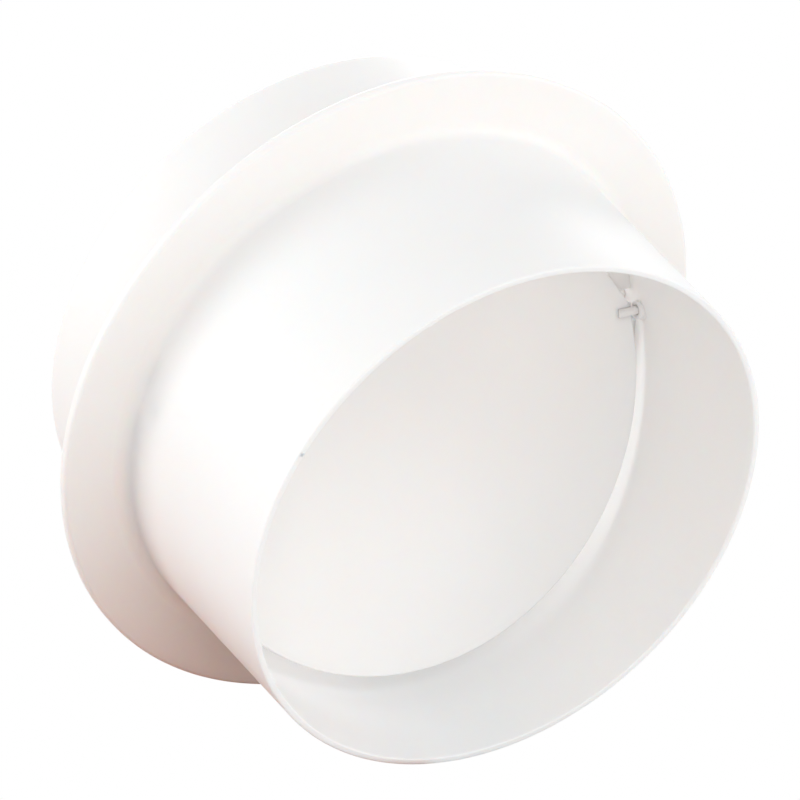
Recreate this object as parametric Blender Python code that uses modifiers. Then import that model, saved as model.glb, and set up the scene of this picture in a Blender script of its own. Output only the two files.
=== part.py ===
"""Backdraft damper for a round ventilation duct, modelled in metres with +Z up.

The tube's axis lies along Y. The longer, front spigot points to -Y and the shorter one to +Y. The origin
is on the tube's axis, in the plane of the collar's front face. The flap hangs on two stub pins a little
above the axis and opens towards the front spigot.
"""

import math

import bmesh
import bpy
from mathutils import Matrix, Vector

MM = 0.001

# Driving dimensions of the tube
SPIGOT_DIAMETER = 99.6 * MM
WALL = 1.2 * MM
FRONT_SPIGOT_LENGTH = 43.5 * MM
REAR_SPIGOT_LENGTH = 23.7 * MM
RIM_ROUND = 0.35 * MM

# Driving dimensions of the collar
COLLAR_DIAMETER = 123.0 * MM
COLLAR_THICKNESS = 2.0 * MM
COLLAR_EDGE_ROUND = 0.7 * MM
FRONT_FILLET = 2.5 * MM
REAR_FILLET = 1.2 * MM

# Driving dimensions of the flap
FLAP_CLEARANCE = 1.8 * MM
FLAP_DROP = 0.9 * MM
FLAP_THICKNESS = 1.2 * MM
FLAP_EDGE_ROUND = 0.3 * MM
AJAR_ANGLE = math.radians(18.8)
OPEN_ANGLE = math.radians(70.0)

# Driving dimensions of the hinge
PIVOT_SETBACK = 5.7 * MM
PIVOT_RISE = 8.4 * MM
PIN_DIAMETER = 1.5 * MM
PIN_SEAT_LENGTH = 3.0 * MM
PIN_END_PLAY = 0.3 * MM
PIN_ROUND = 0.2 * MM
RUNNING_GAP = 0.25 * MM
BOSS_WALL = 0.6 * MM
BOSS_LENGTH = 0.9 * MM
BORE_FLOOR = 0.6 * MM
PAD_THICKNESS = 1.0 * MM

# Driving dimensions of the notch above each pin, and of the web on the wall behind the notch
NOTCH_HEIGHT = 8.0 * MM
NOTCH_STEP = 0.8 * MM
NOTCH_LEAN = 5.4 * MM
WEB_SETBACK = 3.2 * MM
WEB_RISE = 2.4 * MM
WEB_THICKNESS = 1.6 * MM
WEB_HEIGHT = 4.7 * MM
WEB_STANDOUT = 3.5 * MM
WEB_LEAN = 2.4 * MM

# Driving dimensions of the half-moon seat and of the stop ribs
SEAT_GAP = 0.3 * MM
SEAT_HEIGHT = 3.2 * MM
SEAT_THICKNESS = 1.5 * MM
SEAT_BELOW_PIVOT = 3.2 * MM
STOP_FROM_PIVOT = 4.7 * MM
STOP_LENGTH = 8.0 * MM
STOP_THICKNESS = 1.4 * MM
STOP_HEIGHT = 6.4 * MM

# Fineness of the round shapes
TURN_STEPS = 96
SMALL_STEPS = 24
ARC_STEPS = 5
SHARP_ANGLE = math.radians(35.0)

# Sizes that follow from the driving dimensions
OUTER_RADIUS = SPIGOT_DIAMETER / 2
BORE_RADIUS = OUTER_RADIUS - WALL
WALL_MIDDLE = OUTER_RADIUS - WALL / 2
COLLAR_RADIUS = COLLAR_DIAMETER / 2
FRONT_END = -FRONT_SPIGOT_LENGTH
REAR_END = COLLAR_THICKNESS + REAR_SPIGOT_LENGTH
FLAP_RADIUS = BORE_RADIUS - FLAP_CLEARANCE
PIN_RADIUS = PIN_DIAMETER / 2
PIN_BORE = PIN_RADIUS + RUNNING_GAP
BOSS_RADIUS = PIN_BORE + BOSS_WALL
PIVOT = Vector((0.0, -PIVOT_SETBACK, PIVOT_RISE))
WALL_AT_PIVOT = math.sqrt(BORE_RADIUS**2 - PIVOT_RISE**2)
OUTSIDE_AT_PIVOT = math.sqrt(OUTER_RADIUS**2 - PIVOT_RISE**2)
BOSS_FACE = WALL_AT_PIVOT - BOSS_LENGTH
BORE_END = OUTSIDE_AT_PIVOT - BORE_FLOOR
FLAP_EDGE_AT_PIN = BOSS_FACE - 2 * RUNNING_GAP
PIN_INNER_END = FLAP_EDGE_AT_PIN - PIN_SEAT_LENGTH
PIN_OUTER_END = BORE_END - PIN_END_PLAY
SIDES = {"right": 1.0, "left": -1.0}


def clear_scene():
    """Remove every object that the file already holds."""
    for old in list(bpy.data.objects):
        bpy.data.objects.remove(old, do_unlink=True)


def add_collection(name):
    """Make a collection in the scene."""
    made = bpy.data.collections.new(name)
    bpy.context.scene.collection.children.link(made)
    return made


def plastic(name, colour, roughness):
    """Make the material of one sub-part."""
    made = bpy.data.materials.new(name)
    made.use_nodes = True
    shader = made.node_tree.nodes["Principled BSDF"]
    shader.inputs["Base Color"].default_value = (*colour, 1.0)
    shader.inputs["Roughness"].default_value = roughness
    shader.inputs["Metallic"].default_value = 0.0
    return made


def add_object(name, mesh, collection, parent=None):
    """Put a mesh in the scene as an object, on its parent's place if it has one."""
    made = bpy.data.objects.new(name, mesh)
    collection.objects.link(made)
    made.parent = parent
    return made


def mesh_from(name, build):
    """Make a mesh by running build on an empty bmesh."""
    mesh = bpy.data.meshes.new(name)
    work = bmesh.new()
    build(work)
    bmesh.ops.recalc_face_normals(work, faces=work.faces)
    work.to_mesh(mesh)
    work.free()
    return mesh


def helper(made):
    """Mark an object as a cutter or a blank, which is no piece of the damper."""
    made.hide_render = True
    made.display_type = "WIRE"
    return made


def arc(centre, radius, start, end):
    """Give the points of an arc in the profile plane, both ends included, angles in degrees."""
    points = []
    for step in range(ARC_STEPS + 1):
        angle = math.radians(start + (end - start) * step / ARC_STEPS)
        points.append((centre[0] + radius * math.cos(angle), centre[1] + radius * math.sin(angle)))
    return points


def turned(name, profile, collection):
    """Turn a closed profile of (radius, y) points about the tube's axis."""

    def build(work):
        corners = [work.verts.new((radius, y, 0.0)) for radius, y in profile]
        for corner, following in zip(corners, corners[1:] + corners[:1]):
            work.edges.new((corner, following))

    made = add_object(name, mesh_from(name, build), collection)
    screw = made.modifiers.new("turn", "SCREW")
    screw.axis = "Y"
    screw.steps = TURN_STEPS
    screw.render_steps = TURN_STEPS
    screw.merge_threshold = 0.00001
    screw.use_smooth_shade = True
    return made


def cylinder_along_x(name, radius, start, end, place, collection, parent=None):
    """Make a round bar from x = start to x = end, on the line through place."""

    def build(work):
        turn = Matrix.Rotation(math.radians(90.0), 4, "Y")
        centre = Matrix.Translation(((start + end) / 2, place[1], place[2]))
        bmesh.ops.create_cone(work, cap_ends=True, segments=SMALL_STEPS, radius1=radius, radius2=radius,
                              depth=abs(end - start), matrix=centre @ turn)

    return add_object(name, mesh_from(name, build), collection, parent)


def cylinder_along_y(name, radius, start, end, centre_z, collection, parent=None):
    """Make a round disc or drum from y = start to y = end."""

    def build(work):
        turn = Matrix.Rotation(math.radians(-90.0), 4, "X")
        centre = Matrix.Translation((0.0, (start + end) / 2, centre_z))
        bmesh.ops.create_cone(work, cap_ends=True, segments=TURN_STEPS, radius1=radius, radius2=radius,
                              depth=end - start, matrix=centre @ turn)

    return add_object(name, mesh_from(name, build), collection, parent)


def box(name, low, high, collection, parent=None, turn=None):
    """Make a box between two corners, turned about the parent's origin or the world's if asked."""

    def build(work):
        size = [high[axis] - low[axis] for axis in range(3)]
        middle = [(high[axis] + low[axis]) / 2 for axis in range(3)]
        shape = Matrix.Translation(middle) @ Matrix.Diagonal((*size, 1.0))
        bmesh.ops.create_cube(work, size=1.0, matrix=(turn or Matrix()) @ shape)

    return add_object(name, mesh_from(name, build), collection, parent)


def prism_along_y(name, outline, start, end, collection, parent=None):
    """Make a prism with an outline of (x, z) points, from y = start to y = end."""

    def build(work):
        face = work.faces.new([work.verts.new((x, start, z)) for x, z in outline])
        grown = bmesh.ops.extrude_face_region(work, geom=[face])
        moved = [item for item in grown["geom"] if isinstance(item, bmesh.types.BMVert)]
        bmesh.ops.translate(work, verts=moved, vec=(0.0, end - start, 0.0))

    return add_object(name, mesh_from(name, build), collection, parent)


def combine(target, other, operation):
    """Add a Boolean of target with other, on the exact solver."""
    step = target.modifiers.new(other.name, "BOOLEAN")
    step.operation = operation
    step.solver = "EXACT"
    step.object = other


def round_edges(target, width, segments):
    """Round the sharp edges of a plain shape."""
    bevel = target.modifiers.new("round", "BEVEL")
    bevel.width = width
    bevel.segments = segments
    bevel.limit_method = "ANGLE"
    bevel.angle_limit = math.radians(60.0)


def shell_profile():
    """Give the section of the tube and its collar, as one closed line of (radius, y) points."""
    collar_root = OUTER_RADIUS + FRONT_FILLET
    rear_root = OUTER_RADIUS + REAR_FILLET
    collar_back = COLLAR_THICKNESS
    outer_rim = OUTER_RADIUS - RIM_ROUND
    inner_rim = BORE_RADIUS + RIM_ROUND
    edge = COLLAR_RADIUS - COLLAR_EDGE_ROUND
    return [
        *arc((outer_rim, FRONT_END + RIM_ROUND), RIM_ROUND, -90.0, 0.0),
        *arc((collar_root, -FRONT_FILLET), FRONT_FILLET, 180.0, 90.0),
        *arc((edge, COLLAR_EDGE_ROUND), COLLAR_EDGE_ROUND, -90.0, 0.0),
        *arc((edge, collar_back - COLLAR_EDGE_ROUND), COLLAR_EDGE_ROUND, 0.0, 90.0),
        *arc((rear_root, collar_back + REAR_FILLET), REAR_FILLET, -90.0, -180.0),
        *arc((outer_rim, REAR_END - RIM_ROUND), RIM_ROUND, 0.0, 90.0),
        *arc((inner_rim, REAR_END - RIM_ROUND), RIM_ROUND, 90.0, 180.0),
        *arc((inner_rim, FRONT_END + RIM_ROUND), RIM_ROUND, 180.0, 270.0),
    ]


def seat_profile():
    """Give the section of the half-moon seat, square to the flap and sloped behind."""
    front = PIVOT.y + FLAP_THICKNESS + SEAT_GAP
    inner = BORE_RADIUS - SEAT_HEIGHT
    back = front + SEAT_THICKNESS
    return [(inner, front), (inner, back), (WALL_MIDDLE, back + SEAT_HEIGHT), (WALL_MIDDLE, front)]


def make_seat(helpers):
    """Make the ring that backs the lower half of the closed flap, cut off below the pins."""
    seat = helper(turned("seat_blank", seat_profile(), helpers))
    top = PIVOT.z - SEAT_BELOW_PIVOT
    reach = COLLAR_RADIUS
    lower_half = helper(box("seat_limit", (-reach, -reach, -reach), (reach, reach, top), helpers))
    combine(seat, lower_half, "INTERSECT")
    return seat


def make_boss(side, sign, wall_core, helpers):
    """Make one bearing boss, which stands on the wall round the outer end of a pin."""
    boss = helper(cylinder_along_x(f"boss_blank_{side}", BOSS_RADIUS, sign * BOSS_FACE, sign * OUTER_RADIUS,
                                   PIVOT, helpers))
    combine(boss, wall_core, "INTERSECT")
    return boss


def make_web(side, sign, wall_core, helpers):
    """Make the web that stands on the wall behind one notch, with its inner edge along the notch's."""
    inner = WALL_AT_PIVOT - WEB_STANDOUT
    front = PIVOT.y + WEB_SETBACK
    bottom = PIVOT.z + WEB_RISE
    top = bottom + WEB_HEIGHT
    corners = [(inner, bottom), (inner - WEB_LEAN, top), (OUTER_RADIUS, top), (OUTER_RADIUS, bottom)]
    outline = [(sign * x, z) for x, z in corners]
    web = helper(prism_along_y(f"web_blank_{side}", outline, front, front + WEB_THICKNESS, helpers))
    combine(web, wall_core, "INTERSECT")
    return web


def make_stop_rib(side, sign, wall_core, helpers):
    """Make one stop rib, on whose upper face the back of the fully open flap comes to lie."""
    start = STOP_FROM_PIVOT
    face = FLAP_THICKNESS + SEAT_GAP
    inner = WALL_AT_PIVOT - STOP_HEIGHT
    near, far = sorted((sign * inner, sign * OUTER_RADIUS))
    place = Matrix.Translation(PIVOT) @ Matrix.Rotation(-OPEN_ANGLE, 4, "X")
    rib = helper(box(f"stop_blank_{side}", (near, face, start),
                     (far, face + STOP_THICKNESS, start + STOP_LENGTH), helpers, turn=place))
    combine(rib, wall_core, "INTERSECT")
    return rib


def make_housing(parts, helpers):
    """Make the tube with its collar, bosses, webs, stop ribs and seat as one moulding."""
    housing = turned("housing", shell_profile(), parts)
    wall_core = helper(cylinder_along_y("wall_core", WALL_MIDDLE, FRONT_END, REAR_END, 0.0, helpers))
    combine(housing, make_seat(helpers), "UNION")
    for side, sign in SIDES.items():
        combine(housing, make_boss(side, sign, wall_core, helpers), "UNION")
        combine(housing, make_web(side, sign, wall_core, helpers), "UNION")
        combine(housing, make_stop_rib(side, sign, wall_core, helpers), "UNION")
    for side, sign in SIDES.items():
        bore = helper(cylinder_along_x(f"bearing_bore_{side}", PIN_BORE, sign * (BOSS_FACE - WALL),
                                       sign * BORE_END, PIVOT, helpers))
        combine(housing, bore, "DIFFERENCE")
    housing.data.materials.append(plastic("housing_plastic", (0.86, 0.85, 0.83), 0.42))


def notch_outline(sign):
    """Give the cut beside and above one pin, in the flap's own plane, with z from the pivot line."""
    below = BOSS_RADIUS + 2 * RUNNING_GAP
    start = PIN_BORE + RUNNING_GAP
    corners = [
        (BORE_RADIUS, -below),
        (FLAP_EDGE_AT_PIN, -below),
        (FLAP_EDGE_AT_PIN, start),
        (FLAP_EDGE_AT_PIN - NOTCH_STEP, start),
        (FLAP_EDGE_AT_PIN - NOTCH_STEP - NOTCH_LEAN, start + NOTCH_HEIGHT),
        (BORE_RADIUS, start + NOTCH_HEIGHT),
    ]
    return [(sign * x, z) for x, z in corners]


def make_flap(parts, helpers, hinge):
    """Make the flap on its hinge: a thin disc with a pad, a pin seat and a notch at each side."""
    flap = cylinder_along_y("flap", FLAP_RADIUS, 0.0, FLAP_THICKNESS, -PIVOT.z - FLAP_DROP, parts, hinge)
    round_edges(flap, FLAP_EDGE_ROUND, 2)
    pad_half = PIN_BORE + BOSS_WALL
    pad_back = FLAP_THICKNESS + PAD_THICKNESS
    for side, sign in SIDES.items():
        near, far = sorted((sign * (PIN_INNER_END - WALL), sign * FLAP_EDGE_AT_PIN))
        pad = helper(box(f"pad_blank_{side}", (near, FLAP_THICKNESS / 2, -pad_half),
                         (far, pad_back, pad_half), helpers, hinge))
        round_edges(pad, FLAP_EDGE_ROUND, 2)
        combine(flap, pad, "UNION")
    for side, sign in SIDES.items():
        notch = helper(prism_along_y(f"notch_{side}", notch_outline(sign), -WALL, pad_back + WALL,
                                     helpers, hinge))
        seat_start = sign * (PIN_INNER_END - RUNNING_GAP)
        groove = helper(cylinder_along_x(f"pin_seat_{side}", PIN_BORE, seat_start, sign * BORE_RADIUS,
                                         Vector(), helpers, hinge))
        combine(flap, notch, "DIFFERENCE")
        combine(flap, groove, "DIFFERENCE")
    flap.data.materials.append(plastic("flap_plastic", (0.84, 0.81, 0.78), 0.5))


def make_pins(parts, hinge):
    """Make the two stub pins, on the pivot line."""
    shade = plastic("pin_plastic", (0.80, 0.76, 0.72), 0.4)
    for side, sign in SIDES.items():
        pin = cylinder_along_x(f"pivot_pin_{side}", PIN_RADIUS, sign * PIN_INNER_END, sign * PIN_OUTER_END,
                               Vector(), parts, hinge)
        round_edges(pin, PIN_ROUND, 2)
        pin.data.materials.append(shade)


def shade_round(parts):
    """Shade the round faces of every piece smooth, keep its corners crisp and let large faces lead."""
    for piece in parts.objects:
        if piece.type == "MESH":
            piece.data.shade_smooth()
            piece.data.set_sharp_from_angle(angle=SHARP_ANGLE)
            normals = piece.modifiers.new("normals", "WEIGHTED_NORMAL")
            normals.keep_sharp = True


def main():
    """Build the damper."""
    clear_scene()
    parts = add_collection("backdraft_damper")
    helpers = add_collection("cutters_and_blanks")
    hinge = add_object("flap_hinge", None, parts)
    hinge.location = PIVOT
    hinge.rotation_euler.x = -AJAR_ANGLE
    make_housing(parts, helpers)
    make_flap(parts, helpers, hinge)
    make_pins(parts, hinge)
    shade_round(parts)


main()
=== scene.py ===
"""Looks, light and camera of a backdraft damper for a round ventilation duct.

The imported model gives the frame: the tube's axis lies along Y with the longer spigot towards -Y, and the
origin lies on that axis in the plane of the collar's front face. All lengths are in metres.
"""

from __future__ import annotations

import logging
import math
from collections.abc import Callable
from dataclasses import dataclass, field
from enum import Enum

import bmesh
import bpy
from mathutils import Matrix, Vector


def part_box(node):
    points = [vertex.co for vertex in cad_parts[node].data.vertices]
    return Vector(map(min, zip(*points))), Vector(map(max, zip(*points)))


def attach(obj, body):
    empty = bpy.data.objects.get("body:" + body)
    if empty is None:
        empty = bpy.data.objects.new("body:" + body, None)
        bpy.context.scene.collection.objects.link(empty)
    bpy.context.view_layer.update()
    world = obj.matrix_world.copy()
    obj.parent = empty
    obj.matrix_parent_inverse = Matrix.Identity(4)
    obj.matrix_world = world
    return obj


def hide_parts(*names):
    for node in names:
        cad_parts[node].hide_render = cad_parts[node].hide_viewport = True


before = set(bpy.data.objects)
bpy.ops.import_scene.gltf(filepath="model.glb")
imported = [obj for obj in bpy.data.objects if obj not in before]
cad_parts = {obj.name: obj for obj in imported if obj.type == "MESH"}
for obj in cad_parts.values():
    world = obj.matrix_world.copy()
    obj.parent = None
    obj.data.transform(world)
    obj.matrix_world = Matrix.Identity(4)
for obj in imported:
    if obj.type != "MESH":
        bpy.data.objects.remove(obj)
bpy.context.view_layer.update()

log = logging.getLogger("backdraft_damper")

MM = 0.001

Point2 = tuple[float, float]
Colour = tuple[float, float, float]


class Body(Enum):
    """The two bodies that the hinge joins."""

    HOUSING = "housing_body"
    FLAP = "flap_body"


class Node(Enum):
    """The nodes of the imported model."""

    HOUSING = "housing"
    FLAP = "flap"
    PIN_RIGHT = "pivot_pin_right"
    PIN_LEFT = "pivot_pin_left"


class Slot(Enum):
    """The material slots of the record."""

    HOUSING = "housing_plastic"
    FLAP = "flap_plastic"
    PIN = "pin_plastic"


class Side(Enum):
    """The two ends of the pivot line, with the sign of their x."""

    RIGHT = 1.0
    LEFT = -1.0

    @property
    def word(self) -> str:
        """Give the side's name for a piece."""
        return self.name.lower()

    @property
    def pin_node(self) -> Node:
        """Give the node of this side's stub pin."""
        return Node.PIN_RIGHT if self is Side.RIGHT else Node.PIN_LEFT


@dataclass(frozen=True)
class TubeSize:
    """Sizes of the moulded tube and its collar.

    Args:
        outer_radius: outside radius of both spigots.
        wall: thickness of the tube.
        rim_round: radius of the edges of both rims.
        collar_thickness: thickness of the collar along the tube.
        collar_edge_round: radius of the collar's edges.
        front_fillet: radius in the corner between the front spigot and the collar.
        rear_fillet: radius in the corner between the rear spigot and the collar.
    """

    outer_radius: float = 49.8 * MM
    wall: float = 1.2 * MM
    rim_round: float = 0.35 * MM
    collar_thickness: float = 2.0 * MM
    collar_edge_round: float = 0.7 * MM
    front_fillet: float = 2.5 * MM
    rear_fillet: float = 1.2 * MM

    @property
    def bore_radius(self) -> float:
        """Give the inside radius of the tube."""
        return self.outer_radius - self.wall

    @property
    def wall_middle(self) -> float:
        """Give the radius in the middle of the wall, where pieces on the wall are rooted."""
        return self.outer_radius - self.wall / 2

    @property
    def front_end(self) -> float:
        """Give the y of the front rim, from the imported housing."""
        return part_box(Node.HOUSING.value)[0].y

    @property
    def rear_end(self) -> float:
        """Give the y of the rear rim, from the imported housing."""
        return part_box(Node.HOUSING.value)[1].y

    @property
    def collar_radius(self) -> float:
        """Give the collar's outer radius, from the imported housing."""
        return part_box(Node.HOUSING.value)[1].x


@dataclass(frozen=True)
class HingeSize:
    """Place of the pivot line and sizes of the pins and their bosses.

    Args:
        pivot: a point on the pivot line, in the middle of the tube.
        ajar: how far the flap hangs open in the photograph, in radians.
        opening: how far the flap opens from its closed place, in radians.
        pin_radius: radius of a stub pin.
        running_gap: clearance round a pin in its packed bore; the flap keeps twice that from a boss.
        bearing_gap: clearance round a pin in its bearing.
        snug_gap: clearance round a pin in its seat in the flap.
        pin_round: radius of the edges of a pin's ends.
        boss_wall: wall of a bearing boss round its bore.
        boss_length: how far a boss stands in from the tube's wall.
        boss_flare: radius of the corner between a boss and the tube's wall.
    """

    pivot: Vector = field(default_factory=lambda: Vector((0.0, -5.7 * MM, 8.4 * MM)))
    ajar: float = math.radians(18.8)
    opening: float = math.radians(70.0)
    pin_radius: float = 0.75 * MM
    running_gap: float = 0.25 * MM
    bearing_gap: float = 0.12 * MM
    snug_gap: float = 0.03 * MM
    pin_round: float = 0.2 * MM
    boss_wall: float = 0.6 * MM
    boss_length: float = 0.9 * MM
    boss_flare: float = 0.3 * MM

    @property
    def bore_radius(self) -> float:
        """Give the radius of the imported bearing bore."""
        return self.pin_radius + self.running_gap

    @property
    def boss_radius(self) -> float:
        """Give the outside radius of a boss."""
        return self.bore_radius + self.boss_wall

    def boss_face(self, tube: TubeSize) -> float:
        """Give the distance of a boss's inner face from the tube's middle plane.

        Args:
            tube: sizes of the tube that the boss stands in.

        Returns:
            The distance in metres.
        """
        return math.sqrt(tube.bore_radius**2 - self.pivot.z**2) - self.boss_length

    def flap_frame(self) -> Matrix:
        """Give the place of the flap: the pivot line, turned by the angle that it hangs open."""
        return Matrix.Translation(self.pivot) @ Matrix.Rotation(-self.ajar, 4, "X")


@dataclass(frozen=True)
class FlapSize:
    """Sizes of the flap's disc, in its own plane.

    Args:
        clearance: gap between the disc and the bore.
        drop: how far the disc's middle lies below the tube's axis when it is closed.
        thickness: thickness of the disc.
        edge_round: radius of the disc's edges.
        pin_seat_length: length of a pin's seat in the flap.
        pad_thickness: how far the pad behind a pin's seat stands out.
        notch_height: height of the notch above a pin.
        notch_step: how far the notch starts in from the flap's edge beside the pin.
        notch_lean: how far the notch leans in over its height.
    """

    clearance: float = 1.8 * MM
    drop: float = 0.9 * MM
    thickness: float = 1.2 * MM
    edge_round: float = 0.3 * MM
    pin_seat_length: float = 3.0 * MM
    pad_thickness: float = 1.0 * MM
    notch_height: float = 8.0 * MM
    notch_step: float = 0.8 * MM
    notch_lean: float = 5.4 * MM


@dataclass(frozen=True)
class StopSize:
    """Sizes of the half-moon seat behind the flap and of the stop ribs.

    Args:
        gap: gap between the closed flap and the seat, and between the open flap and a rib.
        seat_height: how far the seat stands in from the tube's wall.
        seat_thickness: thickness of the seat at its inner edge.
        seat_below_pivot: how far below the pivot line the seat ends.
        rib_from_pivot: distance from the pivot line to the rib's near end.
        rib_length: length of a rib.
        rib_thickness: thickness of a rib.
        rib_height: how far a rib stands in from the tube's wall.
        edge_round: radius of the edges of the seat and the ribs.
    """

    gap: float = 0.3 * MM
    seat_height: float = 3.2 * MM
    seat_thickness: float = 1.5 * MM
    seat_below_pivot: float = 3.2 * MM
    rib_from_pivot: float = 4.7 * MM
    rib_length: float = 8.0 * MM
    rib_thickness: float = 1.4 * MM
    rib_height: float = 6.4 * MM
    edge_round: float = 0.15 * MM


@dataclass(frozen=True)
class WebSize:
    """Place and sizes of the web that stands on the wall behind each notch of the flap.

    Args:
        setback: how far behind the pivot line its front face lies.
        rise: how far above the pivot line its underside lies.
        thickness: its thickness.
        height: its height.
        standout: how far its inner foot lies from the wall, at the height of the pivot line.
        lean: how far its inner edge leans in over its height.
        edge_round: radius of its edges.
    """

    setback: float = 3.2 * MM
    rise: float = 2.4 * MM
    thickness: float = 1.6 * MM
    height: float = 4.7 * MM
    standout: float = 3.5 * MM
    lean: float = 2.4 * MM
    edge_round: float = 0.2 * MM


@dataclass(frozen=True)
class Fineness:
    """How finely the round shapes of the looks are divided.

    Args:
        turn_steps: steps round the tube and the flap.
        small_steps: steps round a pin or a boss.
        arc_steps: steps along a rounded edge of a profile.
        bevel_steps: steps across the rounded edge of a plain shape.
        bevel_angle: edges that turn by more than this are rounded, in radians.
        sharp_angle: edges that turn by more than this stay crisp, in radians.
        weld: corners of a turned shape that lie nearer than this become one.
    """

    turn_steps: int = 288
    small_steps: int = 64
    arc_steps: int = 8
    bevel_steps: int = 3
    bevel_angle: float = math.radians(50.0)
    sharp_angle: float = math.radians(32.0)
    weld: float = 0.0005 * MM


TUBE = TubeSize()
HINGE = HingeSize()
FLAP = FlapSize()
STOPS = StopSize()
WEB = WebSize()
FINE = Fineness()


class NodeGraph:
    """Short ways to add and join the nodes of one material."""

    def __init__(self, material: bpy.types.Material) -> None:
        """Take over the node tree of a material.

        Args:
            material: the material whose nodes are made.
        """
        material.use_nodes = True
        self.tree = material.node_tree
        self.shader = self.tree.nodes["Principled BSDF"]
        self.object_coords = self.tree.nodes.new("ShaderNodeTexCoord").outputs["Object"]

    def link(self, source: bpy.types.NodeSocket, target: bpy.types.NodeSocket) -> None:
        """Join two sockets."""
        self.tree.links.new(source, target)

    def noise(
        self, size: float, detail: float = 3.0, stretch: tuple[float, float, float] = (1.0, 1.0, 1.0)
    ) -> bpy.types.NodeSocket:
        """Add a noise with spots of one size.

        Args:
            size: size of the spots in metres.
            detail: how many finer layers the noise has.
            stretch: how much the spots are squeezed along each axis.

        Returns:
            The socket of the noise's value.
        """
        mapping = self.tree.nodes.new("ShaderNodeMapping")
        mapping.inputs["Scale"].default_value = stretch
        self.link(self.object_coords, mapping.inputs["Vector"])
        noise = self.tree.nodes.new("ShaderNodeTexNoise")
        noise.inputs["Scale"].default_value = 1.0 / size
        noise.inputs["Detail"].default_value = detail
        self.link(mapping.outputs["Vector"], noise.inputs["Vector"])
        return noise.outputs["Fac"]

    def ramp(
        self, value: bpy.types.NodeSocket, band: Point2, result: Point2 = (0.0, 1.0)
    ) -> bpy.types.NodeSocket:
        """Map a value from one range to another.

        Args:
            value: the socket to map.
            band: the two values that become the ends of the result.
            result: the results at the two ends.

        Returns:
            The socket of the result.
        """
        node = self.tree.nodes.new("ShaderNodeMapRange")
        for name, number in zip(("From Min", "From Max", "To Min", "To Max"), (*band, *result)):
            node.inputs[name].default_value = number
        self.link(value, node.inputs["Value"])
        return node.outputs["Result"]

    def mix_colour(
        self, amount: bpy.types.NodeSocket, first: Colour, second: Colour
    ) -> bpy.types.NodeSocket:
        """Blend two colours.

        Args:
            amount: 0 gives the first colour and 1 the second.
            first: the first colour.
            second: the second colour.

        Returns:
            The socket of the blended colour.
        """
        node = self.tree.nodes.new("ShaderNodeMix")
        node.data_type = "RGBA"
        node.inputs["A"].default_value = (*first, 1.0)
        node.inputs["B"].default_value = (*second, 1.0)
        self.link(amount, node.inputs["Factor"])
        return node.outputs["Result"]

    def bump(
        self, height: bpy.types.NodeSocket, depth: float, below: bpy.types.NodeSocket | None = None
    ) -> bpy.types.NodeSocket:
        """Add a bump on top of another one.

        Args:
            height: the socket of the relief, from 0 to 1.
            depth: depth of the relief in metres.
            below: the normal that the bump is added to, if any.

        Returns:
            The socket of the new normal.
        """
        node = self.tree.nodes.new("ShaderNodeBump")
        node.inputs["Distance"].default_value = depth
        self.link(height, node.inputs["Height"])
        if below is not None:
            self.link(below, node.inputs["Normal"])
        return node.outputs["Normal"]


@dataclass(frozen=True)
class MouldedPlastic:
    """White moulded plastic with a fine skin.

    Args:
        name: the material's name.
        clean: colour of the clean plastic.
        mottled: colour of its slightly yellower patches.
        roughness: mean roughness of the skin.
        roughness_spread: how far the roughness wanders from patch to patch.
        patch_size: size of the yellower patches.
        patch_band: the noise values at which the patches begin and are complete.
        smudge_size: size of the rougher and smoother patches.
        smudge_band: the noise values of the smoothest and the roughest places.
        glow: share of the light that spreads inside the thin wall.
        glow_reach: how far that light spreads.
        glow_tint: how far its red, green and blue spread, beside each other.
        sink_size: size of the shallow sink marks.
        sink_depth: depth of the sink marks.
        grain_size: size of the fine mould grain.
        grain_depth: depth of the grain.
        draw_size: width of the faint lines along the direction in which the mould opened.
        draw_stretch: how much the lines are squeezed along each axis, below 1 for longer.
        draw_depth: depth of the lines.
        bending: the index of refraction.
    """

    name: str
    clean: Colour
    mottled: Colour
    roughness: float
    roughness_spread: float = 0.06
    patch_size: float = 26.0 * MM
    patch_band: Point2 = (0.35, 0.7)
    smudge_size: float = 11.0 * MM
    smudge_band: Point2 = (0.3, 0.7)
    glow: float = 0.6
    glow_reach: float = 2.8 * MM
    glow_tint: Colour = (1.0, 0.72, 0.58)
    sink_size: float = 34.0 * MM
    sink_depth: float = 0.05 * MM
    grain_size: float = 0.35 * MM
    grain_depth: float = 0.012 * MM
    draw_size: float = 0.9 * MM
    draw_stretch: tuple[float, float, float] = (1.0, 0.04, 1.0)
    draw_depth: float = 0.004 * MM
    bending: float = 1.49

    def make(self) -> bpy.types.Material:
        """Make the material.

        Returns:
            The finished material.
        """
        material = bpy.data.materials.new(self.name)
        graph = NodeGraph(material)
        shader = graph.shader
        patches = graph.ramp(graph.noise(self.patch_size, detail=4.0), self.patch_band)
        graph.link(graph.mix_colour(patches, self.clean, self.mottled), shader.inputs["Base Color"])
        smudges = graph.noise(self.smudge_size, detail=5.0)
        ends = (self.roughness - self.roughness_spread, self.roughness + self.roughness_spread)
        graph.link(graph.ramp(smudges, self.smudge_band, ends), shader.inputs["Roughness"])
        grain = graph.noise(self.grain_size, detail=2.0)
        draw_lines = graph.noise(self.draw_size, detail=2.0, stretch=self.draw_stretch)
        normal = graph.bump(graph.noise(self.sink_size, detail=1.0), self.sink_depth)
        normal = graph.bump(draw_lines, self.draw_depth, normal)
        normal = graph.bump(grain, self.grain_depth, normal)
        graph.link(normal, shader.inputs["Normal"])
        shader.inputs["IOR"].default_value = self.bending
        shader.inputs["Subsurface Weight"].default_value = self.glow
        shader.inputs["Subsurface Radius"].default_value = self.glow_tint
        shader.inputs["Subsurface Scale"].default_value = self.glow_reach
        return material


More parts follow.
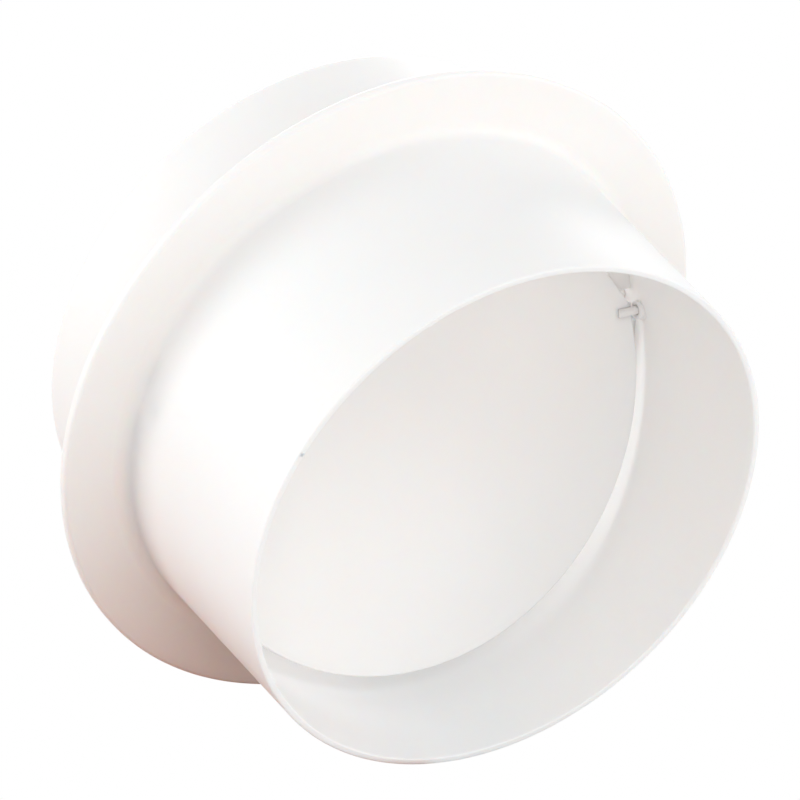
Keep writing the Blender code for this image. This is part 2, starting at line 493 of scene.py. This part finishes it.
class Finish(Enum):
    """The finishes of the damper's plastic.

    The bosses, webs and ribs of the housing get a finish with less glow, since they are too small for a
    wide one, and a slightly warmer, darker colour than the housing's, which is painted shade. The pins'
    finish is likewise a darker, warmer copy of the flap's plastic, as painted shade.
    """

    HOUSING = MouldedPlastic(
        "housing_white", clean=(0.925, 0.908, 0.897), mottled=(0.918, 0.897, 0.881), roughness=0.42
    )
    # A slightly warmer, darker copy of the housing plastic: painted shade on the small forms, with less
    # glow.
    SMALL = MouldedPlastic(
        "small_forms_white_painted_shade", clean=(0.925, 0.902, 0.888), mottled=(0.918, 0.892, 0.874), roughness=0.42,
        glow=0.15
    )
    FLAP = MouldedPlastic(
        "flap_white", clean=(0.925, 0.907, 0.895), mottled=(0.918, 0.895, 0.878), roughness=0.48,
        draw_depth=0.002 * MM
    )
    # A slightly darker, warmer copy of the flap's plastic: painted shade on the pins, with less glow.
    PIN = MouldedPlastic(
        "pin_white_painted_shade", clean=(0.915, 0.89, 0.87), mottled=(0.905, 0.875, 0.85), roughness=0.38,
        glow=0.15, draw_depth=0.0
    )


class Workshop:
    """The tools that the pieces are shaped with."""

    @staticmethod
    def from_bmesh(name: str, build: Callable[[bmesh.types.BMesh], None]) -> bpy.types.Object:
        """Make an object from a mesh that a function builds.

        Args:
            name: the object's name.
            build: fills an empty bmesh.

        Returns:
            The new object.
        """
        mesh = bpy.data.meshes.new(name)
        work = bmesh.new()
        build(work)
        bmesh.ops.recalc_face_normals(work, faces=work.faces)
        work.to_mesh(mesh)
        work.free()
        made = bpy.data.objects.new(name, mesh)
        bpy.context.scene.collection.objects.link(made)
        return made

    @staticmethod
    def arc(centre: Point2, radius: float, start: float, end: float) -> list[Point2]:
        """Give the points of an arc in a profile's plane, both ends included.

        Args:
            centre: the arc's centre.
            radius: the arc's radius.
            start: the angle of the first point, in degrees.
            end: the angle of the last point, in degrees.

        Returns:
            The points, in order.
        """
        points = []
        for step in range(FINE.arc_steps + 1):
            angle = math.radians(start + (end - start) * step / FINE.arc_steps)
            points.append((centre[0] + radius * math.cos(angle), centre[1] + radius * math.sin(angle)))
        return points

    @classmethod
    def turned(cls, name: str, profile: list[Point2], steps: int, axis: str = "Y") -> bpy.types.Object:
        """Turn a closed profile all the way round an axis.

        Args:
            name: the object's name.
            profile: corners as (radius, place along the axis).
            steps: steps round the axis.
            axis: X or Y, the axis that the profile is turned about.

        Returns:
            The turned object.
        """
        about = Vector((0.0, 1.0, 0.0)) if axis == "Y" else Vector((1.0, 0.0, 0.0))

        def build(work: bmesh.types.BMesh) -> None:
            """Spin the profile into a closed skin."""
            corners = []
            for radius, along in profile:
                place = (radius, along, 0.0) if axis == "Y" else (along, radius, 0.0)
                corners.append(work.verts.new(place))
            edges = [work.edges.new(pair) for pair in zip(corners, corners[1:] + corners[:1])]
            bmesh.ops.spin(work, geom=corners + edges, cent=(0.0, 0.0, 0.0), axis=about, angle=math.tau,
                           steps=steps, use_merge=True)
            bmesh.ops.remove_doubles(work, verts=work.verts, dist=FINE.weld)

        return cls.from_bmesh(name, build)

    @classmethod
    def cylinder(cls, name: str, radius: float, start: Vector, end: Vector, steps: int) -> bpy.types.Object:
        """Make a round bar or disc between two points.

        Args:
            name: the object's name.
            radius: the bar's radius.
            start: the middle of its first end.
            end: the middle of its other end.
            steps: steps round the bar.

        Returns:
            The bar.
        """
        way = end - start
        place = Matrix.Translation((start + end) / 2) @ way.to_track_quat("Z", "Y").to_matrix().to_4x4()

        def build(work: bmesh.types.BMesh) -> None:
            """Add one capped cylinder."""
            bmesh.ops.create_cone(work, cap_ends=True, segments=steps, radius1=radius, radius2=radius,
                                  depth=way.length, matrix=place)

        return cls.from_bmesh(name, build)

    @classmethod
    def box(cls, name: str, low: Vector, high: Vector, place: Matrix | None = None) -> bpy.types.Object:
        """Make a box between two corners.

        Args:
            name: the object's name.
            low: the lowest corner.
            high: the highest corner.
            place: moves and turns the finished box, if given.

        Returns:
            The box.
        """
        shape = Matrix.Translation((low + high) / 2) @ Matrix.Diagonal((*(high - low), 1.0))

        def build(work: bmesh.types.BMesh) -> None:
            """Add one box."""
            bmesh.ops.create_cube(work, size=1.0, matrix=(place or Matrix()) @ shape)

        return cls.from_bmesh(name, build)

    @classmethod
    def prism(cls, name: str, outline: list[Point2], start: float, end: float) -> bpy.types.Object:
        """Make a prism along Y.

        Args:
            name: the object's name.
            outline: corners as (x, z).
            start: the first y.
            end: the last y.

        Returns:
            The prism.
        """

        def build(work: bmesh.types.BMesh) -> None:
            """Extrude the outline."""
            face = work.faces.new([work.verts.new((x, start, z)) for x, z in outline])
            grown = bmesh.ops.extrude_face_region(work, geom=[face])["geom"]
            moved = [item for item in grown if isinstance(item, bmesh.types.BMVert)]
            bmesh.ops.translate(work, verts=moved, vec=(0.0, end - start, 0.0))

        return cls.from_bmesh(name, build)

    @staticmethod
    def apply(piece: bpy.types.Object) -> None:
        """Make the result of a piece's modifiers its own mesh.

        Args:
            piece: the object to change.
        """
        bpy.context.view_layer.update()
        seen = piece.evaluated_get(bpy.context.evaluated_depsgraph_get())
        mesh = bpy.data.meshes.new_from_object(seen)
        piece.modifiers.clear()
        old = piece.data
        piece.data = mesh
        mesh.name = piece.name
        bpy.data.meshes.remove(old)

    @classmethod
    def combine(cls, piece: bpy.types.Object, operation: str, others: list[bpy.types.Object]) -> None:
        """Join other shapes to a piece or cut them from it, and throw them away.

        Args:
            piece: the object that stays.
            operation: UNION, DIFFERENCE or INTERSECT.
            others: the shapes to use.
        """
        for other in others:
            step = piece.modifiers.new(other.name, "BOOLEAN")
            step.operation = operation
            step.solver = "EXACT"
            step.object = other
        cls.apply(piece)
        for other in others:
            bpy.data.objects.remove(other, do_unlink=True)

    @classmethod
    def round_edges(cls, piece: bpy.types.Object, width: float) -> None:
        """Round the corners of a plain shape.

        Args:
            piece: the object to change.
            width: radius of the rounding.
        """
        bevel = piece.modifiers.new("round", "BEVEL")
        bevel.width = width
        bevel.segments = FINE.bevel_steps
        bevel.limit_method = "ANGLE"
        bevel.angle_limit = FINE.bevel_angle
        cls.apply(piece)

    @staticmethod
    def shade(piece: bpy.types.Object) -> None:
        """Shade the round faces smooth, keep corners crisp and let large faces lead the normals.

        Args:
            piece: the object to change.
        """
        piece.data.shade_smooth()
        piece.data.set_sharp_from_angle(angle=FINE.sharp_angle)
        weighted = piece.modifiers.new("normals", "WEIGHTED_NORMAL")
        weighted.keep_sharp = True

    @classmethod
    def hand_over(cls, piece: bpy.types.Object, body: Body, slot: Slot, material: bpy.types.Material,
                  stands_for: Node | None = None) -> bpy.types.Object:
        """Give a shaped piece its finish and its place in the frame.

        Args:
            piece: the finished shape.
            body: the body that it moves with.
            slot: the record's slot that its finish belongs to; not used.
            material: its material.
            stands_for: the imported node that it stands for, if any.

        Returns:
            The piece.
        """
        cls.shade(piece)
        piece.data.materials.clear()
        piece.data.materials.append(material)
        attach(piece, body.value)
        if stands_for is not None:
            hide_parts(stands_for.value)
        log.info("%s: %d faces on %s", piece.name, len(piece.data.polygons), body.value)
        return piece


@dataclass
class MouldedHousing:
    """The one-piece moulding: tube, collar, bosses, webs, half-moon seat and stop ribs.

    Args:
        tube: sizes of the tube and the collar.
        hinge: place and sizes of the hinge.
        stops: sizes of the seat and the ribs.
        web: sizes of the webs behind the notches.
        flap_thickness: thickness of the flap that the seat backs.
        gate_angle: where the moulding's gate mark lies on the front rim, in radians from +X.
        gate_radius: radius of the gate mark.
        gate_height: how far the gate mark stands out of the rim.
        gate_round: radius of the edges of the gate mark.
    """

    tube: TubeSize
    hinge: HingeSize
    stops: StopSize
    web: WebSize
    flap_thickness: float
    gate_angle: float = math.radians(153.0)
    gate_radius: float = 0.35 * MM
    gate_height: float = 0.12 * MM
    gate_round: float = 0.08 * MM

    def build(self) -> None:
        """Build and dress every part of the moulding."""
        material = Finish.HOUSING.value.make()
        # Painted shade: the bosses, webs and ribs get a warmer, darker copy of the housing plastic.
        shaded_small_material = Finish.SMALL.value.make()
        shell = self.shell()
        Workshop.hand_over(shell, Body.HOUSING, Slot.HOUSING, material, Node.HOUSING)
        for piece in (self.seat(), self.gate_mark()):
            Workshop.hand_over(piece, Body.HOUSING, Slot.HOUSING, material)
        for side in Side:
            for piece in (self.boss(side), self.notch_web(side), self.stop_rib(side)):
                Workshop.hand_over(piece, Body.HOUSING, Slot.HOUSING, shaded_small_material)

    def shell(self) -> bpy.types.Object:
        """Make the tube with both spigots and the collar as one turned skin."""
        tube = self.tube
        arc = Workshop.arc
        rim = tube.rim_round
        edge = tube.collar_radius - tube.collar_edge_round
        outer_rim = tube.outer_radius - rim
        inner_rim = tube.bore_radius + rim
        back = tube.collar_thickness
        corner = tube.collar_edge_round
        front = tube.front_fillet
        rear = tube.rear_fillet
        profile = [
            *arc((outer_rim, tube.front_end + rim), rim, -90.0, 0.0),
            *arc((tube.outer_radius + front, -front), front, 180.0, 90.0),
            *arc((edge, corner), corner, -90.0, 0.0),
            *arc((edge, back - corner), corner, 0.0, 90.0),
            *arc((tube.outer_radius + rear, back + rear), rear, -90.0, -180.0),
            *arc((outer_rim, tube.rear_end - rim), rim, 0.0, 90.0),
            *arc((inner_rim, tube.rear_end - rim), rim, 90.0, 180.0),
            *arc((inner_rim, tube.front_end + rim), rim, 180.0, 270.0),
        ]
        return Workshop.turned("spigot_tube_and_collar", profile, FINE.turn_steps)

    def wall_core(self) -> bpy.types.Object:
        """Make the drum that trims what stands on the inside of the tube's wall."""
        start = Vector((0.0, self.tube.front_end, 0.0))
        end = Vector((0.0, self.tube.rear_end, 0.0))
        return Workshop.cylinder("wall_core", self.tube.wall_middle, start, end, FINE.turn_steps)

    def seat(self) -> bpy.types.Object:
        """Make the half-moon seat that the closed flap leans on."""
        front = self.hinge.pivot.y + self.flap_thickness + self.stops.gap
        back = front + self.stops.seat_thickness
        inner = self.tube.bore_radius - self.stops.seat_height
        small = self.stops.edge_round
        arc = Workshop.arc
        profile = [
            *arc((inner + small, front + small), small, 270.0, 180.0),
            *arc((inner + small, back - small), small, 180.0, 90.0),
            (self.tube.wall_middle, back + self.stops.seat_height),
            (self.tube.wall_middle, front),
        ]
        seat = Workshop.turned("half_moon_seat", profile, FINE.turn_steps)
        reach = self.tube.collar_radius
        top = self.hinge.pivot.z - self.stops.seat_below_pivot
        limit = Workshop.box("seat_limit", Vector((-reach, -reach, -reach)), Vector((reach, reach, top)))
        Workshop.combine(seat, "INTERSECT", [limit])
        return seat

    def boss(self, side: Side) -> bpy.types.Object:
        """Make a bearing boss with its blind bore and a flared foot.

        Args:
            side: the end of the pivot line that it stands at.

        Returns:
            The trimmed piece.
        """
        hinge = self.hinge
        face = hinge.boss_face(self.tube)
        wall = face + hinge.boss_length
        small = self.stops.edge_round
        flare = hinge.boss_flare
        foot = self.tube.wall_middle - 2 * small
        bore = hinge.pin_radius + hinge.bearing_gap
        arc = Workshop.arc
        profile = [
            (bore, foot),
            *arc((bore + small, face + small), small, 180.0, 270.0),
            *arc((hinge.boss_radius - small, face + small), small, 270.0, 360.0),
            *reversed(arc((hinge.boss_radius + flare, wall - flare), flare, 90.0, 180.0)),
            (hinge.boss_radius + flare, foot),
        ]
        boss = Workshop.turned(f"bearing_boss_{side.word}", profile, FINE.small_steps, axis="X")
        boss.data.transform(Matrix.Translation(hinge.pivot) @ Matrix.Diagonal((side.value, 1.0, 1.0, 1.0)))
        if side is Side.LEFT:
            boss.data.flip_normals()
        Workshop.combine(boss, "INTERSECT", [self.wall_core()])
        return boss

    def notch_web(self, side: Side) -> bpy.types.Object:
        """Make the web on the wall behind a notch of the flap.

        Args:
            side: the end of the pivot line that it stands at.

        Returns:
            The trimmed piece.
        """
        web = self.web
        pivot = self.hinge.pivot
        inner = self.hinge.boss_face(self.tube) + self.hinge.boss_length - web.standout
        outer = self.tube.outer_radius
        bottom = pivot.z + web.rise
        top = bottom + web.height
        corners = [(inner, bottom), (inner - web.lean, top), (outer, top), (outer, bottom)]
        outline = [(side.value * x, z) for x, z in corners]
        front = pivot.y + web.setback
        piece = Workshop.prism(f"notch_web_{side.word}", outline, front, front + web.thickness)
        Workshop.round_edges(piece, web.edge_round)
        Workshop.combine(piece, "INTERSECT", [self.wall_core()])
        return piece

    def stop_rib(self, side: Side) -> bpy.types.Object:
        """Make a stop rib, on which the fully open flap comes to lie.

        Args:
            side: the end of the pivot line that it stands at.

        Returns:
            The trimmed piece.
        """
        stops = self.stops
        wall = self.hinge.boss_face(self.tube) + self.hinge.boss_length
        face = self.flap_thickness + stops.gap
        near, far = sorted((side.value * (wall - stops.rib_height), side.value * self.tube.outer_radius))
        low = Vector((near, face, stops.rib_from_pivot))
        high = Vector((far, face + stops.rib_thickness, stops.rib_from_pivot + stops.rib_length))
        place = Matrix.Translation(self.hinge.pivot) @ Matrix.Rotation(-self.hinge.opening, 4, "X")
        rib = Workshop.box(f"stop_rib_{side.word}", low, high, place)
        Workshop.round_edges(rib, stops.edge_round)
        Workshop.combine(rib, "INTERSECT", [self.wall_core()])
        return rib

    def gate_mark(self) -> bpy.types.Object:
        """Make the small trimmed gate mark on the front rim."""
        radius = self.tube.bore_radius + self.tube.wall / 2
        place = Vector((radius * math.cos(self.gate_angle), self.tube.front_end,
                        radius * math.sin(self.gate_angle)))
        depth = Vector((0.0, self.gate_height, 0.0))
        ends = (place - depth, place + depth)
        mark = Workshop.cylinder("gate_mark", self.gate_radius, *ends, FINE.small_steps)
        Workshop.round_edges(mark, self.gate_round)
        return mark


@dataclass
class HangingFlap:
    """The round flap with its two stub pins.

    Args:
        tube: sizes of the tube that the flap hangs in.
        hinge: place and sizes of the hinge.
        flap: sizes of the flap.
    """

    tube: TubeSize
    hinge: HingeSize
    flap: FlapSize

    @property
    def edge_at_pin(self) -> float:
        """Give the distance of the flap's edge beside a boss from the middle plane."""
        return self.hinge.boss_face(self.tube) - 2 * self.hinge.running_gap

    @property
    def pin_inner_end(self) -> float:
        """Give the distance of a pin's inner end from the middle plane."""
        return self.edge_at_pin - self.flap.pin_seat_length

    def build(self) -> None:
        """Build and dress the flap and its pins."""
        flap = self.disc()
        Workshop.hand_over(flap, Body.FLAP, Slot.FLAP, Finish.FLAP.value.make(), Node.FLAP)
        # Painted shade: the pins get a darker, warmer copy of the flap's plastic.
        shaded_pin_material = Finish.PIN.value.make()
        for side in Side:
            Workshop.hand_over(self.pin(side), Body.FLAP, Slot.PIN, shaded_pin_material, side.pin_node)

    def disc(self) -> bpy.types.Object:
        """Make the disc with its pads, notches and pin seats, and hang it on the pivot line."""
        flap = self.flap
        hinge = self.hinge
        radius = self.tube.bore_radius - flap.clearance
        middle = -hinge.pivot.z - flap.drop
        back = flap.thickness + flap.pad_thickness
        disc = Workshop.cylinder("flap_disc", radius, Vector((0.0, 0.0, middle)),
                                 Vector((0.0, flap.thickness, middle)), FINE.turn_steps)
        Workshop.round_edges(disc, flap.edge_round)
        Workshop.combine(disc, "UNION", [self.pad(side, back) for side in Side])
        cutters = [self.notch(side, back) for side in Side]
        cutters += [self.pin_seat(side) for side in Side]
        Workshop.combine(disc, "DIFFERENCE", cutters)
        disc.data.transform(hinge.flap_frame())
        return disc

    def pad(self, side: Side, back: float) -> bpy.types.Object:
        """Make the pad that backs a pin's seat.

        Args:
            side: the end of the pivot line.
            back: how far back the pad reaches.

        Returns:
            The pad.
        """
        half = self.hinge.boss_radius
        ends = (self.pin_inner_end - self.tube.wall, self.edge_at_pin)
        near, far = sorted(side.value * end for end in ends)
        pad = Workshop.box(f"pad_{side.word}", Vector((near, self.flap.thickness / 2, -half)),
                           Vector((far, back, half)))
        Workshop.round_edges(pad, self.flap.edge_round)
        return pad

    def notch(self, side: Side, back: float) -> bpy.types.Object:
        """Make the cutter for the notch beside and above a pin.

        Args:
            side: the end of the pivot line.
            back: how far back the pad reaches.

        Returns:
            The cutter.
        """
        hinge = self.hinge
        below = hinge.boss_radius + 2 * hinge.running_gap
        start = hinge.bore_radius + hinge.running_gap
        top = start + self.flap.notch_height
        corners = [
            (self.tube.bore_radius, -below),
            (self.edge_at_pin, -below),
            (self.edge_at_pin, start),
            (self.edge_at_pin - self.flap.notch_step, start),
            (self.edge_at_pin - self.flap.notch_step - self.flap.notch_lean, top),
            (self.tube.bore_radius, top),
        ]
        outline = [(side.value * x, z) for x, z in corners]
        return Workshop.prism(f"notch_{side.word}", outline, -self.tube.wall, back + self.tube.wall)

    def pin_seat(self, side: Side) -> bpy.types.Object:
        """Make the cutter for the half-round seat of a pin.

        Args:
            side: the end of the pivot line.

        Returns:
            The cutter.
        """
        radius = self.hinge.pin_radius + self.hinge.snug_gap
        start = Vector((side.value * (self.pin_inner_end - self.hinge.snug_gap), 0.0, 0.0))
        end = Vector((side.value * self.tube.bore_radius, 0.0, 0.0))
        return Workshop.cylinder(f"pin_seat_{side.word}", radius, start, end, FINE.small_steps)

    def pin(self, side: Side) -> bpy.types.Object:
        """Make a stub pin on the pivot line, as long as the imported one.

        Args:
            side: the end of the pivot line.

        Returns:
            The pin.
        """
        low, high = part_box(side.pin_node.value)
        ends = (Vector((low.x, 0.0, 0.0)), Vector((high.x, 0.0, 0.0)))
        pin = Workshop.cylinder(f"stub_pin_{side.word}", self.hinge.pin_radius, *ends, FINE.small_steps)
        Workshop.round_edges(pin, self.hinge.pin_round)
        pin.data.transform(self.hinge.flap_frame())
        return pin


@dataclass(frozen=True)
class PhotoCamera:
    """The camera of the photograph, worked out from its rims and collar.

    Args:
        place: where the camera stands.
        right: the direction to the right of the picture.
        up: the direction to the top of the picture.
        lens: focal length in millimetres.
        sensor: width of the sensor in millimetres.
        sight: the nearest and the farthest distance that it sees, in metres.
    """

    place: Vector = field(default_factory=lambda: Vector((-1.47661, -2.09240, 1.64133)))
    right: Vector = field(default_factory=lambda: Vector((0.85524, -0.50082, 0.13317)))
    up: Vector = field(default_factory=lambda: Vector((0.17912, 0.52682, 0.83089)))
    lens: float = 801.0
    sensor: float = 36.0
    sight: Point2 = (0.1, 20.0)

    def build(self) -> None:
        """Set the camera up and make it the scene's."""
        back = self.right.cross(self.up).normalized()
        data = bpy.data.cameras.new("photo_camera")
        data.lens = self.lens
        data.sensor_width = self.sensor
        data.clip_start, data.clip_end = self.sight
        camera = bpy.data.objects.new("photo_camera", data)
        bpy.context.scene.collection.objects.link(camera)
        rows = [(self.right[i], self.up[i], back[i], self.place[i]) for i in range(3)]
        camera.matrix_world = Matrix((*rows, (0.0, 0.0, 0.0, 1.0)))
        bpy.context.scene.camera = camera
        log.info("camera stands %.2f m away", self.place.length)


@dataclass(frozen=True)
class Table:
    """The table on which the damper lies, on the foot of its front rim and on its collar's edge.

    A warm card lies on it beside the tube, and gives the shaded side of the collar its tone.

    Args:
        tube: sizes of the tube that lies on it.
        half_width: half the table's width.
        thickness: thickness of the table top.
        colour: the table's colour.
        roughness: roughness of the table and the card.
        card_low: the card's corner at the left and in front, along the table.
        card_high: the card's corner at the right and behind, along the table.
        card_thickness: thickness of the card.
        card_colour: the card's colour.
    """

    tube: TubeSize
    half_width: float = 1.6
    thickness: float = 3.0 * MM
    colour: Colour = (0.76, 0.75, 0.745)
    roughness: float = 0.9
    card_low: Point2 = (-0.15, -0.004)
    card_high: Point2 = (-0.008, 0.07)
    card_thickness: float = 0.2 * MM
    card_colour: Colour = (0.40, 0.15, 0.08)

    @property
    def lean(self) -> float:
        """Give the angle between the tube's axis and the table, in radians."""
        return math.atan2(self.tube.collar_radius - self.tube.outer_radius, -self.tube.front_end)

    def turn(self) -> Matrix:
        """Give the turn from a level frame to the table's, with its z square to the table."""
        return Matrix.Rotation(-self.lean, 4, "X")

    def build(self) -> None:
        """Lay the table and the card, which light the damper but stay out of the white picture."""
        half = self.half_width
        card = self.card_thickness
        self.slab("table_top", (-half, -half), (half, half), (-self.thickness, -card), self.colour)
        self.slab("warm_card", self.card_low, self.card_high, (-card, 0.0), self.card_colour)

    def slab(self, name: str, low: Point2, high: Point2, heights: Point2, colour: Colour) -> None:
        """Lay one flat slab, measured from the foot of the front rim.

        Args:
            name: the slab's name.
            low: its corner at the left and in front.
            high: its corner at the right and behind.
            heights: its underside and its top, square to the table.
            colour: its colour.
        """
        foot = Vector((0.0, self.tube.front_end, -self.tube.outer_radius))
        place = Matrix.Translation(foot) @ self.turn()
        slab = Workshop.box(name, Vector((*low, heights[0])), Vector((*high, heights[1])), place)
        material = bpy.data.materials.new(name)
        graph = NodeGraph(material)
        graph.shader.inputs["Base Color"].default_value = (*colour, 1.0)
        graph.shader.inputs["Roughness"].default_value = self.roughness
        slab.data.materials.append(material)
        slab.visible_camera = False


@dataclass(frozen=True)
class SoftBox:
    """One soft studio lamp, placed by its direction over the table.

    Args:
        name: the lamp's name.
        bearing: its direction round the damper in degrees, 0 at the right and 90 on the camera's side.
        height: its angle above the table, in degrees.
        power: its power in watts.
        width: its width and height in metres.
        distance: how far away it hangs.
        colour: its colour.
    """

    name: str
    bearing: float
    height: float
    power: float
    width: float = 0.7
    distance: float = 1.3
    colour: Colour = (1.0, 1.0, 1.0)

    def build(self, table: Table, right: Vector) -> None:
        """Hang the lamp, facing the damper.

        Args:
            table: the table that the height is measured from.
            right: the direction to the right of the picture.
        """
        up = table.turn() @ Vector((0.0, 0.0, 1.0))
        across = (right - right.dot(up) * up).normalized()
        forward = across.cross(up)
        bearing = math.radians(self.bearing)
        height = math.radians(self.height)
        level = math.cos(bearing) * across + math.sin(bearing) * forward
        place = self.distance * (math.cos(height) * level + math.sin(height) * up)
        data = bpy.data.lights.new(self.name, "AREA")
        data.shape = "SQUARE"
        data.size = self.width
        data.energy = self.power
        data.color = self.colour
        lamp = bpy.data.objects.new(self.name, data)
        bpy.context.scene.collection.objects.link(lamp)
        turn = (-place).to_track_quat("-Z", "Y").to_matrix().to_4x4()
        lamp.matrix_world = Matrix.Translation(place) @ turn


LAMPS = (
    SoftBox("right_low", bearing=0.0, height=10.0, power=2.7),
    SoftBox("right_high", bearing=15.0, height=35.0, power=1.7),
    SoftBox("front", bearing=85.0, height=10.0, power=3.2),
    SoftBox("front_high", bearing=60.0, height=50.0, power=1.5),
    SoftBox("left_low", bearing=172.0, height=10.0, power=5.4),
    SoftBox("left_high", bearing=180.0, height=35.0, power=1.5),
    SoftBox("back", bearing=270.0, height=10.0, power=7.4),
    SoftBox("high_back", bearing=315.0, height=60.0, power=1.0),
)


@dataclass
class Studio:
    """The table, the white surroundings and the soft lamps.

    Args:
        table: the table.
        right: the direction to the right of the picture.
        lamps: the soft boxes.
        air: colour of the soft light from all round.
        air_strength: its strength.
    """

    table: Table
    right: Vector
    lamps: tuple[SoftBox, ...]
    air: Colour = (0.985, 0.993, 1.0)
    air_strength: float = 0.60

    def build(self) -> None:
        """Set up table, surroundings and lamps."""
        self.table.build()
        self.surroundings()
        for lamp in self.lamps:
            lamp.build(self.table, self.right)
        bpy.context.scene.view_settings.view_transform = "Standard"
        log.info("studio: %d lamps", len(self.lamps))

    def surroundings(self) -> None:
        """Fill the surroundings with soft light, and let the camera see them plain white."""
        world = bpy.data.worlds.new("studio_air")
        world.use_nodes = True
        bpy.context.scene.world = world
        tree = world.node_tree
        air = tree.nodes["Background"]
        air.inputs["Color"].default_value = (*self.air, 1.0)
        air.inputs["Strength"].default_value = self.air_strength
        path = tree.nodes.new("ShaderNodeLightPath")
        white = tree.nodes.new("ShaderNodeBackground")
        white.inputs["Color"].default_value = (1.0, 1.0, 1.0, 1.0)
        mix = tree.nodes.new("ShaderNodeMixShader")
        tree.links.new(path.outputs["Is Camera Ray"], mix.inputs["Fac"])
        tree.links.new(air.outputs["Background"], mix.inputs[1])
        tree.links.new(white.outputs["Background"], mix.inputs[2])
        tree.links.new(mix.outputs["Shader"], tree.nodes["World Output"].inputs["Surface"])


def main() -> None:
    """Build the damper, its studio and its camera."""
    logging.basicConfig(level=logging.INFO, format="%(name)s: %(message)s")
    MouldedHousing(TUBE, HINGE, STOPS, WEB, FLAP.thickness).build()
    HangingFlap(TUBE, HINGE, FLAP).build()
    camera = PhotoCamera()
    camera.build()
    Studio(Table(TUBE), camera.right, LAMPS).build()


if __name__ == "__main__":
    main()
